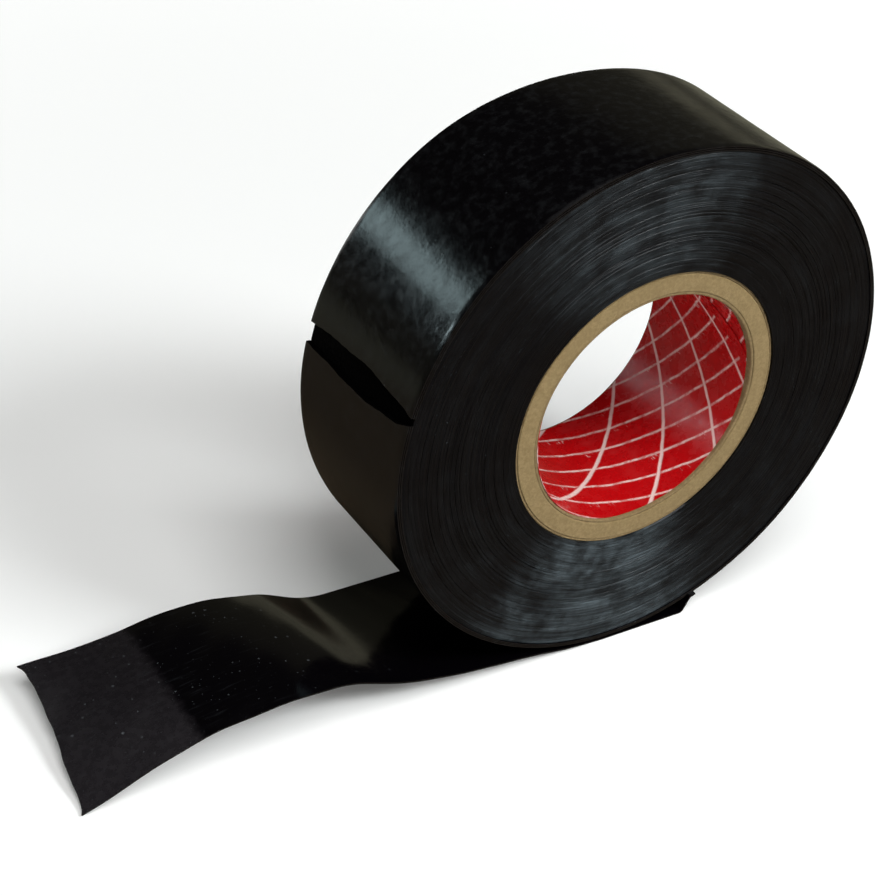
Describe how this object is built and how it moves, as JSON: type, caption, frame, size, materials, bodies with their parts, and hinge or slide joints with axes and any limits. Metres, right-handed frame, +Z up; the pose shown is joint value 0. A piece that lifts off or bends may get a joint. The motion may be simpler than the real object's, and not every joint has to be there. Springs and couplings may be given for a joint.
{
  "type": "electrical tape roll",
  "caption": "Part-used roll of black PVC insulating tape on a paperboard core with a printed liner, standing on edge with its loose end lying out.",
  "frame": {"origin": "on the axis of the core's bore, at the middle of the tape's width", "axes": "+Y along the roll's axis towards its back face, +Z up, +X away from the loose end"},
  "size_m": [0.0879, 0.0205, 0.0573],
  "materials": {
    "pvc_tape": "glossy black PVC film with fine wound edges",
    "adhesive": "tacky black rubber adhesive with a soft gloss",
    "core_board": "matt kraft paperboard",
    "printed_liner": "glossy red print with a net of thin white lines"
  },
  "bodies": {
    "tail_root": {"tail_root_film": "pvc_tape", "tail_root_adhesive": "adhesive"},
    "roll": {"core_liner": "printed_liner", "core_inner_ply": "core_board", "core_board": "core_board", "core_outer_ply": "core_board", "wound_tape": "pvc_tape", "cut_wrap_1": "pvc_tape", "cut_wrap_2": "pvc_tape", "cut_wrap_3": "pvc_tape"},
    "tail_end": {"tail_end_film": "pvc_tape", "tail_end_adhesive": "adhesive"}
  },
  "joints": [
    {"name": "roll_spin", "type": "hinge", "parent": "tail_root", "child": "roll", "pos_m": [0, 0, 0], "axis": [0, 1, 0], "continuous": true},
    {"name": "tail_lift", "type": "hinge", "parent": "tail_root", "child": "tail_end", "pos_m": [-0.01999, 0.00044, -0.02763], "axis": [0.0219, 0.994, -0.1073], "range_deg": [0, 45]}
  ]
}
